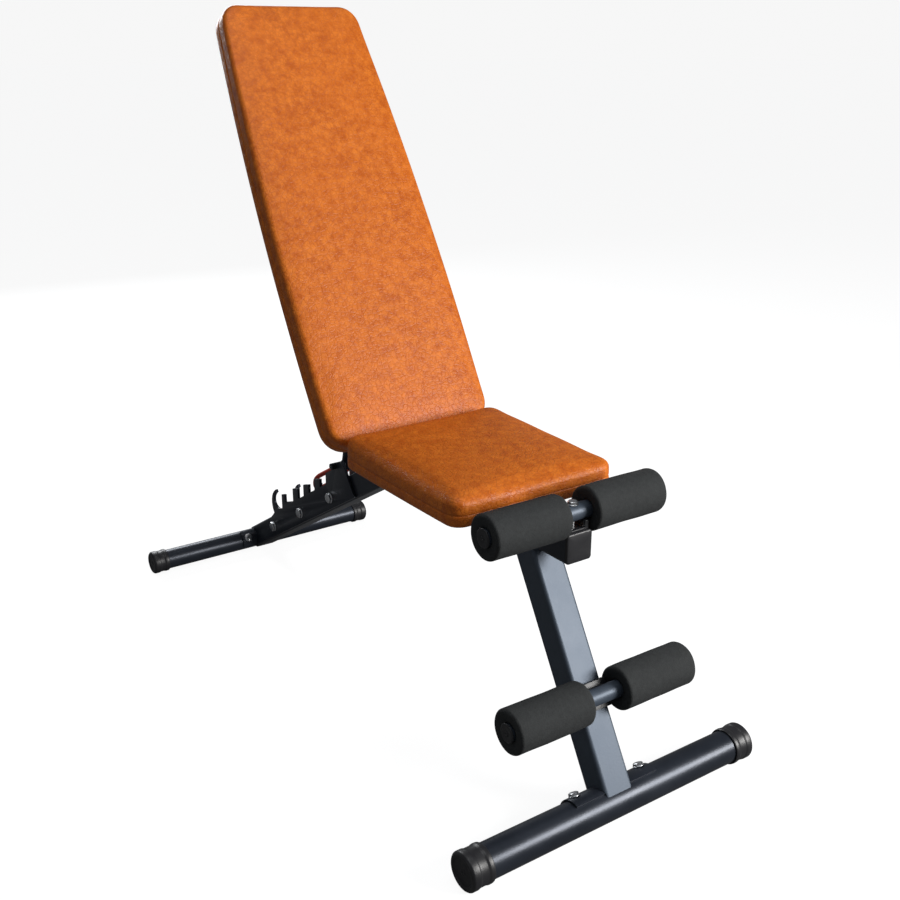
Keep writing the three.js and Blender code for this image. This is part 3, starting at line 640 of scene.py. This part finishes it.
def makeRailAndBeam():
    half, gap = math.tan(beamLean / 2), saddle["gap"] / 2
    loop = squareLoop(rail["size"], rail["size"], rail["corner"])
    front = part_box("seat_rail")[0].y / mm - railSpot[0]
    tube = tubeSkin(loop, rail["wall"], front, lambda x, z: z * half - gap, "y")
    ring = spread(loop(0.0), 400) * (1 + seamProud / 22)
    mitre = np.column_stack([ring[:, 0], ring[:, 1] * half, ring[:, 1]])
    across = np.array([0, math.cos(beamLean / 2), -math.sin(beamLean / 2)])
    skinPiece("seatRail", [tube, beadSkin(mitre, across, rail["weld"])], railSpot, "frame", "seat_rail")
    cope = footCope(feet["rear"])
    tube = tubeSkin(loop, rail["wall"], lambda x, z: gap - z * half, lambda x, z: beamLength - cope(z), "y")
    skinPiece("rearBeam", [tube], beamSpot, "frame", "rear_beam")
    makeRailCap(front)


makePost()
makeRailAndBeam()
say("post, rail and beam are welded")


def crossBolt(name, node, spot, body, radius, half, at=(0.0, 0.0)):
    # flange and head at -X, nut near the thread's end at +X; at is (y, z) in the spot's frame
    tall, head = radius * 1.2, radius * 1.66
    flange = [(0.4, -half), (radius * 2.05, -half), (radius * 2.05, -half - 0.7), (radius * 1.75, -half - 1.3),
              (0.4, -half - 1.3)]
    skins = [rodSkin(radius, -half - 1, half + 2 * tall - 1, "x", at=at),
             turnedSkin(softened(flange, 0.3, 3), "x", at=at),
             hexSkin(head, -half - 1.0, -half - tall, "x", at=at),
             hexSkin(head, half + 1.0, half + tall, "x", at=at)]
    skinPiece(name, skins, spot, body, node)


ladder = {"bolts": {"front": 284, "middle": 429, "rear": 574}, "grip": 28.1, "bolt": 5, "edge": 0.6}
for label, side in sides:
    bevelledCopy("ladderPlate" + label.title(), "ladder_plate_" + label, "frame", ladder["edge"])
for label, along in ladder["bolts"].items():
    crossBolt("ladderBolt" + label.title(), "ladder_bolt_" + label, beamSpot, "frame", ladder["bolt"],
              ladder["grip"], (along, 0.0))
say("ladder is bolted on")

rods = {
    "upper": {"spot": upperRod, "inner": 23.5, "outer": 150.5, "lean": 0.0, "boltSeat": 12.9, "boltEnd": 32},
    "lower": {"spot": lowerRod, "inner": 31.5, "outer": 160.5, "lean": lean["post"] + math.pi / 2,
              "boltSeat": 63.2, "boltEnd": 0},
}
rod = {"radius": 12.5, "wall": 2, "bolt": 4, "head": 6.4, "headRise": 4.8, "cradleEdge": 0.9}
sleeve = {"bore": 13.5, "foam": 32.5, "rim": 4.5, "fill": 0.95, "waveFrom": 16, "waveOver": 12}
plug = {"radius": 14, "thick": 2.5, "stem": 10, "stemLength": 8}


def sleeveProfile(inner, outer):
    # straight side, rounded rims, and end faces that sink slightly towards the bore
    turn = np.linspace(0, np.pi / 2, 9)
    rim, far, bore = sleeve["rim"], sleeve["foam"], sleeve["bore"]
    side = np.linspace(inner + rim, outer - rim, 26)[1:-1]
    a = np.stack([far - rim + rim * np.sin(turn), inner + rim - rim * np.cos(turn)], -1)
    b = np.stack([far - rim + rim * np.cos(turn), outer - rim + rim * np.sin(turn)], -1)
    wall = np.stack([np.full(len(side), far), side], -1)
    face = [(far - rim - 3, outer - 0.4), (bore + 4, outer - 1.4), (bore, outer - 3.0)]
    back = [(r, inner + outer - along) for r, along in reversed(face)]
    return np.concatenate([a, wall, b, face, back])


def sleeveSkin(inner, outer, side):
    # soft foam is never quite round: a few broad, shallow waves round and along it, fading at the bore
    grid, loop = turnedSkin(sleeveProfile(inner, outer), "x", 96)
    x, y, z = grid[..., 0], grid[..., 1], grid[..., 2]
    around, far = np.arctan2(z, y), np.hypot(y, z)
    wave = (0.22 * np.sin(3 * around + x / 23 + side) + 0.16 * np.sin(5 * around - x / 17)
            + 0.12 * np.sin(x / 9 + 2 * around))
    swell = 1 + wave * np.clip((far - sleeve["waveFrom"]) / sleeve["waveOver"], 0, 1) / far
    return np.stack([x * side, y * swell, z * swell], -1), loop


def plugSkin(out, side):
    # domed face with a small dimple, stem inside the rod
    p, stem, face = plug["radius"], plug["stem"], out + 0.3 + plug["thick"]
    rim = [(stem, out + 0.3), (p, out + 0.3), (p, out + 1.6), (p - 2.2, face), (5.0, face - 0.5)]
    dimple = [(4.2, face - 1.1), (3.4, face), (0.7, face + 0.2)]
    back = out - plug["stemLength"]
    grid, loop = turnedSkin(softened([(0.7, back), (stem, back)] + rim + dimple, 0.7, 4), "x", 64)
    grid[..., 0] *= side
    return grid, loop


def makeRollers(level, place):
    out, top = place["outer"], place["boltSeat"]
    tube = tubeSkin(circleLoop(rod["radius"]), rod["wall"], -out, out, "x")
    skinPiece(level + "Rod", [tube], place["spot"], "frame", level + "_roller_rod")
    bevelledCopy(level + "Cradle", level + "_rod_cradle", "frame", rod["cradleEdge"])
    collar = [(0.4, top - 0.4), (8.2, top - 0.4), (8.2, top + 0.4), (rod["head"], top + 1.0), (0.4, top + 1.0)]
    skins = [rodSkin(rod["bolt"], -place["boltEnd"], top + 1, "z"), turnedSkin(softened(collar, 0.3, 3), "z"),
             hexSkin(rod["head"], top + 0.6, top + rod["headRise"], "z")]
    skinPiece(level + "RodBolt", skins, (*place["spot"][:2], place["lean"]), "frame", level + "_rod_bolt")
    for label, side in sides:
        skinPiece(f"{level}RodPlug{label.title()}", [plugSkin(out, side)], place["spot"], "frame",
                  f"{level}_rod_plug_{label}")
        name = f"{level}_roller_{label}"      # the sleeve's CAD node and its own body have the same name
        foam = skinPiece(f"{level}Foam{label.title()}", [sleeveSkin(place["inner"], out, side)], place["spot"],
                         name, name, sharp=60)


for level, place in rods.items():
    makeRollers(level, place)
say("rollers are on their rods")

# each pad: its place and outline, how its cover is cut (proud, edge, seam, cell), shaped as given (crown, rise),
# blown up (pressure, cap, sideCap) and calmed (rounds of averaging and the share of creases kept)
seat = {
    "name": "seat", "body": "frame", "spot": (-376.5, 412.1, 0.0),
    "half": 144.5, "low": 143.5, "mid": 144.5, "high": 143.5, "length": 303, "thick": 42, "corner": 20,
    "proud": 3.0, "edge": 10, "seam": 19, "cell": 6.5, "crown": 8.0, "rise": 9.0,
    "pressure": 3.0, "cap": 4.0, "sideCap": 1.2, "calm": 30, "creases": 0.18, "fill": 0.9, "boardEdge": 1.2,
}
back = {
    "name": "back", "body": "backrest", "spot": backSpot, "start": 21, "behind": -8.6,
    "half": 145, "low": 147, "mid": 145, "high": 125, "length": 757, "thick": 43.5, "corner": 33,
    "proud": 7.0, "edge": 8, "seam": 19, "cell": 7.5, "crown": 1.5, "rise": 0.0,
    "pressure": 2.5, "cap": 2.6, "sideCap": 1.0, "calm": 30, "creases": 0.22, "fill": 0.9, "boardEdge": 1.2,
}
cloth = {"steps": 20, "quality": 6, "mass": 0.3, "stretch": 30, "shear": 15, "bend": 3}


def padHalf(pad, along):
    # half width: a quadratic from the low end through the middle to the high end
    t = np.clip((along + pad["length"] / 2 - pad["corner"]) / (pad["length"] - 2 * pad["corner"]), 0, 1)
    bulge = 2 * pad["mid"] - (pad["low"] + pad["high"]) / 2
    return (1 - t) ** 2 * pad["low"] + 2 * t * (1 - t) * bulge + t ** 2 * pad["high"]


def padRing(pad, inset, cells):
    # a loop round the pad at a distance inside its edge: on each side half a corner arc, a straight and half
    # an arc, at equal steps of length; then every point's x is scaled to the pad's width at its place along it
    inset = inset - pad["proud"]
    corner = max(pad["corner"] - inset, 0.0)
    halves = (pad["half"] - inset, pad["length"] / 2 - inset)
    loops = []
    for k in range(4):
        along, across = halves[k % 2], halves[1 - k % 2]
        straight, arc = 2 * (along - corner), corner * np.pi / 4
        t = np.arange(cells[k % 2]) / cells[k % 2] * (straight + 2 * arc)
        before = np.clip((t - arc) / max(corner, 1e-9), -np.pi / 4, 0)
        after = np.clip((t - arc - straight) / max(corner, 1e-9), 0, np.pi / 4)
        p = np.clip(t - arc, 0, straight) - straight / 2 + corner * np.sin(before + after)
        q = across - corner + corner * np.cos(before + after)
        c, s = math.cos(k * math.pi / 2), math.sin(k * math.pi / 2)
        loops.append(np.stack([p * c + q * s, p * s - q * c], -1))
    ring = np.concatenate(loops)
    ring[:, 0] *= padHalf(pad, ring[:, 1]) / pad["half"]
    return ring


def padLevels(pad):
    # (distance inside the edge, height) from under the rim, up the side past the seam, over the edge and on to
    # the face; also the number of levels under the rim and the seam's own level
    thick, edge, seam = pad["thick"], pad["edge"], pad["seam"]
    low = [(14, 2.0), (8, 1.2), (4.5, 0.9), (2.0, 1.6), (0.6, 3.6), (0.1, 6.5)]
    band = [(0.0, h) for h in np.linspace(6.5, seam - 3, 3)[1:]]
    stitch = [(0.3, seam - 1.4), (1.5, seam), (0.3, seam + 1.4)]
    upper = [(0.0, h) for h in np.linspace(seam + 3.2, thick - edge, 3)]
    turn = np.linspace(0, np.pi / 2, 8)[1:]
    over = [(edge - edge * math.cos(a), thick - edge + edge * math.sin(a)) for a in turn]
    face = [(d, thick) for d in np.linspace(edge, pad["corner"] + pad["proud"] + 3, 6)[1:]]
    return low + band + stitch + upper + over + face, len(low), len(low) + len(band) + 1


def crowned(pad, points):
    # the face swells as crown * (1 - |u|^2.6) * (1 - |v|^2.6) and climbs by rise from the low end to the high
    # end; both fade to nothing from the face down to the seam
    u = points[:, 0] / (padHalf(pad, points[:, 1]) + pad["proud"])
    v = points[:, 1] / (pad["length"] / 2 + pad["proud"])
    swell = (1 - np.abs(np.clip(u, -1, 1)) ** 2.6) * (1 - np.abs(np.clip(v, -1, 1)) ** 2.6)
    fade = np.clip((points[:, 2] - pad["seam"]) / (pad["thick"] - pad["seam"]), 0, 1)
    lift = fade * (pad["crown"] * swell + pad["rise"] * (v + 1) / 2)
    return points + np.column_stack([np.zeros((len(points), 2)), lift])


def padMesh(pad):
    # rings from under the rim up to the face, then a plain grid inside the last ring that shares its points
    levels, held, seamRow = padLevels(pad)
    deep = levels[-1][0] - pad["proud"]
    nx, ny = round(2 * (pad["half"] - deep) / pad["cell"]), round((pad["length"] - 2 * deep) / pad["cell"])
    rings = [np.column_stack([padRing(pad, d, (nx, ny)), np.full(2 * (nx + ny), h)]) for d, h in levels]
    m = len(rings[0])
    last = rings[-1]
    index = np.zeros((ny + 1, nx + 1), int)
    walk = (len(rings) - 1) * m + np.arange(m)
    index[0, :nx] = walk[:nx]
    index[:ny, nx] = walk[nx:nx + ny]
    index[ny, nx:0:-1] = walk[nx + ny:2 * nx + ny]
    index[ny:0:-1, 0] = walk[2 * nx + ny:]
    index[1:-1, 1:-1] = np.arange((ny - 1) * (nx - 1)).reshape(ny - 1, nx - 1) + len(rings) * m
    v = np.linspace(last[:nx + 1, 1].min(), last[:, 1].max(), ny + 1)[1:-1, None]
    wide = (pad["half"] - deep) * padHalf(pad, v) / pad["half"]
    x, y = np.broadcast_arrays(np.linspace(-1, 1, nx + 1)[None, 1:-1] * wide, v)
    inside = np.stack([x, y, np.full(x.shape, levels[-1][1])], -1).reshape(-1, 3)
    points = crowned(pad, np.concatenate([*rings, inside]))
    r, c = np.arange(len(rings) - 1)[:, None], np.arange(m)[None, :]
    c2 = (c + 1) % m
    corners = (r * m + c, r * m + c2, (r + 1) * m + c2, (r + 1) * m + c)
    around = np.stack(np.broadcast_arrays(*corners), -1).reshape(-1, 4)
    face = np.stack([index[:-1, :-1], index[:-1, 1:], index[1:, 1:], index[1:, :-1]], -1).reshape(-1, 4)
    under = [list(range(m - 1, -1, -1))]
    pinned = np.concatenate([np.arange(held * m), seamRow * m + np.arange(m)])
    return points, around.tolist() + face.tolist() + under, pinned


def padPlaced(pad, points):
    # the seat lies flat; the back's face looks along -Y of its own frame and its length runs up +Z
    if pad is seat:
        return placed(points + np.array([0, pad["length"] / 2, 0]), pad["spot"])
    x, y, z = points.T
    return placed(np.stack([x, pad["behind"] - z, y + pad["length"] / 2 + pad["start"]], -1), pad["spot"])


def pressed(obj, pad, pinned):
    # how far each point moves as cloth under air pressure, with the rim and the seam held
    group = obj.vertex_groups.new(name="held")
    group.add(pinned.tolist(), 1.0, "REPLACE")
    puff = obj.modifiers.new("puff", "CLOTH")
    setting = puff.settings
    setting.quality, setting.mass = cloth["quality"], cloth["mass"]
    setting.tension_stiffness = setting.compression_stiffness = cloth["stretch"]
    setting.shear_stiffness, setting.bending_stiffness = cloth["shear"], cloth["bend"]
    setting.use_pressure, setting.uniform_pressure_force = True, pad["pressure"]
    setting.effector_weights.gravity = 0
    setting.vertex_group_mass = "held"
    puff.point_cache.frame_start, puff.point_cache.frame_end = 1, cloth["steps"]
    for step in range(1, cloth["steps"] + 1):
        scene.frame_set(step)
    seen = obj.evaluated_get(bpy.context.evaluated_depsgraph_get())
    new, old = np.zeros(len(obj.data.vertices) * 3), np.zeros(len(obj.data.vertices) * 3)
    seen.data.vertices.foreach_get("co", new)
    obj.data.vertices.foreach_get("co", old)
    obj.modifiers.remove(puff)
    obj.vertex_groups.clear()
    scene.frame_set(1)
    return old.reshape(-1, 3), (new - old).reshape(-1, 3)


def calmed(mesh, move, rounds):
    # each point's move is averaged with its neighbours' again and again, which takes the buckles out
    ends = np.zeros(len(mesh.edges) * 2, int)
    mesh.edges.foreach_get("vertices", ends)
    a, b = ends.reshape(-1, 2).T
    count = len(move)
    meets = np.bincount(np.concatenate([a, b]), minlength=count)[:, None]
    even = move.copy()
    for _ in range(rounds):
        pulls = [np.bincount(a, even[b, k], count) + np.bincount(b, even[a, k], count) for k in range(3)]
        even = (even + np.stack(pulls, -1) / meets) / 2
    return even


def puffed(obj, pad, pinned):
    # the cloth's moves, limited by cap * tanh(move / cap) so the pad stays firm, and calmed to fine creases
    old, move = pressed(obj, pad, pinned)
    face = np.diff(padPlaced(pad, np.array([[0.0, 0, 0], [0, 0, 1]])), axis=0) / mm
    lift = move @ face.T
    side = move - lift * face
    far = np.linalg.norm(side, axis=1)[:, None] + 1e-9
    cap, sideCap = pad["cap"] * mm, pad["sideCap"] * mm
    kept = cap * np.tanh(lift / cap) * face + side / far * sideCap * np.tanh(far / sideCap)
    even = calmed(obj.data, kept, pad["calm"])
    kept = even + pad["creases"] * (kept - even)
    obj.data.vertices.foreach_set("co", (old + kept).ravel())
    obj.data.update()
    say(f"{pad['name']} pad swelled {lift.max() / mm:.1f} mm before the limits")


def makePad(pad):
    name = pad["name"]
    points, faces, pinned = padMesh(pad)
    mesh = bpy.data.meshes.new(name + "Cushion")
    mesh.from_pydata(padPlaced(pad, points), [], faces)
    obj = piece(name + "Cushion", outward(mesh, 75), pad["body"], name + "_cushion")
    puffed(obj, pad, pinned)
    smooth = obj.modifiers.new("smooth", "SUBSURF")
    smooth.levels = smooth.render_levels = 1
    bevelledCopy(name + "Board", name + "_board", pad["body"], pad["boardEdge"])


makePad(seat)
makePad(back)
say("pads are upholstered")

screw = {"radius": 3.0, "head": 6.2, "steps": 32}


def screwSkins(level, sign, axis, at, long):
    # pan head under the board or bracket: flange, dome and a dimple for the driver
    head = screw["head"]
    outline = [(0.5, 0), (head, 0), (head, 0.8), (head - 1, 2.3), (3.2, 3.0), (1.6, 3.1), (1.2, 2.3),
               (0.5, 2.2)]
    profile = softened(outline, 0.35, 3)
    profile[:, 1] = level + sign * profile[:, 1]
    low, high = sorted((level - sign * long, level + sign * 0.5))
    return [turnedSkin(profile, axis, 48, at), rodSkin(screw["radius"], low, high, axis, screw["steps"], at)]


brackets = {"places": {"front": 60, "rear": 243}, "screwX": 84, "level": -3.6, "screwLong": 11, "edge": 0.7}
for label, along in brackets["places"].items():
    bevelledCopy(f"seatBracket{label.title()}", f"seat_bracket_{label}", "frame", brackets["edge"])
    for which, side in sides:
        at = (side * brackets["screwX"], along)
        skins = screwSkins(brackets["level"], -1, "z", at, brackets["screwLong"])
        skinPiece(f"seatScrew{label.title()}{which.title()}", skins, seat["spot"], "frame",
                  f"seat_screw_{label}_{which}")

tubes = {"radius": 11, "bore": 5.6, "half": 40.5, "bolt": 5, "hingeGrip": 67.3, "pivotGrip": 66.8}


def pivotTube():
    wall = tubes["radius"] - tubes["bore"]
    return tubeSkin(circleLoop(tubes["radius"], 64), wall, -tubes["half"], tubes["half"], "x")


skinPiece("hingeTube", [pivotTube()], hingeSpot, "frame", "hinge_tube")
crossBolt("hingeBolt", "hinge_bolt", hingeSpot, "frame", tubes["bolt"], tubes["hingeGrip"])
say("hinge is in")

backFrame = {"x": 54, "size": 25, "corner": 3.5, "wall": 2, "low": -17, "high": 620, "y": 4.2, "gap": 0.3,
             "bar": 20, "barCorner": 2.5, "weld": 1.5, "bars": {"lower": 115, "upper": 590},
             "screws": {"lower": 170, "upper": 520}, "screwLong": 34}


def makeBackRail(label, side):
    # a square tube with a fillet weld round the end of each cross bar
    frameOf, loop = backFrame, squareLoop(backFrame["size"], backFrame["size"], backFrame["corner"])
    grid, closed = tubeSkin(loop, frameOf["wall"], frameOf["low"], frameOf["high"])
    skins = [(grid + np.array([side * frameOf["x"], frameOf["y"], 0]), closed)]
    inner = side * (frameOf["x"] - frameOf["size"] / 2)
    for z in frameOf["bars"].values():
        ring = spread(squareLoop(frameOf["bar"], frameOf["bar"], frameOf["barCorner"])(0.0), 160) * 1.02
        x = np.full(len(ring), inner - side * 0.4)
        path = np.column_stack([x, ring[:, 0] + frameOf["y"], ring[:, 1] + z])
        skins.append(beadSkin(path, np.array([1.0, 0, 0]), frameOf["weld"]))
    skinPiece("backRail" + label.title(), skins, backSpot, "backrest", "back_rail_" + label)


for label, side in sides:
    makeBackRail(label, side)
    level = backFrame["y"] + backFrame["size"] / 2 + backFrame["gap"]
    for which, z in backFrame["screws"].items():
        skins = screwSkins(level, 1, "y", (side * backFrame["x"], z), backFrame["screwLong"])
        skinPiece(f"backScrew{which.title()}{label.title()}", skins, backSpot, "backrest",
                  f"back_screw_{which}_{label}")
for which, z in backFrame["bars"].items():
    half = backFrame["x"] - backFrame["size"] / 2 - backFrame["gap"]
    loop = squareLoop(backFrame["bar"], backFrame["bar"], backFrame["barCorner"])
    grid, closed = tubeSkin(loop, backFrame["wall"], -half, half, "x")
    skins = [(grid + np.array([0, backFrame["y"], z]), closed)]
    skinPiece(f"backBar{which.title()}", skins, backSpot, "backrest", f"back_cross_bar_{which}")
crossBolt("strutPivotBolt", "strut_pivot_bolt", pivotSpot, "backrest", tubes["bolt"], tubes["pivotGrip"])
say("backrest frame is welded")

strut = {
    "radius": 11, "wall": 2, "tail": 8, "bar": 6, "barHalf": 36, "barEdge": 0.8, "weld": 1.6, "barWeld": 1.2,
    "grip": 4.5, "gripFrom": 9.0,
    "handle": [(2, -9), (30, -14), (60, -17), (135, -18), (152, -15), (157, -8), (150, 1), (128, 5), (60, 4),
               (2, 4)],
}


def smoothPath(points, steps=14, tension=0.4):
    # cubic pieces between the points, each end's direction from its two neighbours
    p = np.asarray(points, float)
    tangent = np.empty_like(p)
    tangent[1:-1] = tension * (p[2:] - p[:-2])
    tangent[0], tangent[-1] = tension * (p[1] - p[0]), tension * (p[-1] - p[-2])
    t = np.arange(steps)[None, :, None] / steps
    a, b, da, db = p[:-1, None], p[1:, None], tangent[:-1, None], tangent[1:, None]
    curve = ((2 * t ** 3 - 3 * t ** 2 + 1) * a + (t ** 3 - 2 * t ** 2 + t) * da
             + (3 * t ** 2 - 2 * t ** 3) * b + (t ** 3 - t ** 2) * db)
    return np.concatenate([curve.reshape(-1, p.shape[1]), p[-1:]])


def makeLeg():
    # the tube is coped round the pivot tube and welded to it; the bar leaves it on both sides with a small weld
    r, top = strut["radius"], tubes["radius"] + 0.3

    def cope(x, y):
        return -np.sqrt(np.maximum(top ** 2 - y ** 2, 0))

    ring = spread(circleLoop(r + 0.3, 96)(0.0), 200)
    weld = np.column_stack([ring, cope(None, np.clip(ring[:, 1], -r, r)) - 0.6])
    skins = [tubeSkin(circleLoop(r), strut["wall"], -strutLength - strut["tail"], cope),
             beadSkin(weld, np.array([0, 0, 1.0]), strut["weld"])]
    bar = spread(circleLoop(strut["bar"] + 0.3, 60)(0.0), 90)
    for _, side in sides:
        x = side * np.sqrt(np.maximum(r ** 2 - bar[:, 0] ** 2, 0))
        path = np.column_stack([x, bar[:, 0], bar[:, 1] - strutLength])
        skins.append(beadSkin(path, np.array([1.0, 0, 0]), strut["barWeld"]))
    skinPiece("strutLeg", skins, strutSpot, "strut", "strut_leg")


def makeHandle():
    # a dipped wire loop, drawn only where it stands clear of the leg, with a smaller ring to round both ends
    path = smoothPath(strut["handle"])
    path = path[path[:, 0] > strut["gripFrom"]]
    line = np.column_stack([np.zeros(len(path)), path])
    grid, loop = beadSkin(line, np.array([1.0, 0, 0]), strut["grip"], closed=False, steps=28, ripple=0.0)
    first, last = line[0] + (line[0] - line[1]) * 0.6, line[-1] + (line[-1] - line[-2]) * 0.6
    grid = np.concatenate([(grid[:1] - line[0]) * 0.8 + first, grid, (grid[-1:] - line[-1]) * 0.8 + last])
    skinPiece("strutHandle", [(grid, loop)], (*barSpot[:2], beamLean), "strut", "strut_handle", sharp=50)


skinPiece("strutPivotTube", [pivotTube()], pivotSpot, "strut", "strut_pivot_tube")
makeLeg()
bar = rodSkin(strut["bar"], -strut["barHalf"], strut["barHalf"], edge=strut["barEdge"])
skinPiece("strutBar", [bar], barSpot, "strut", "strut_bar")
makeHandle()
say("strut hangs in the ladder")

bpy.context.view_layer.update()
say("done")
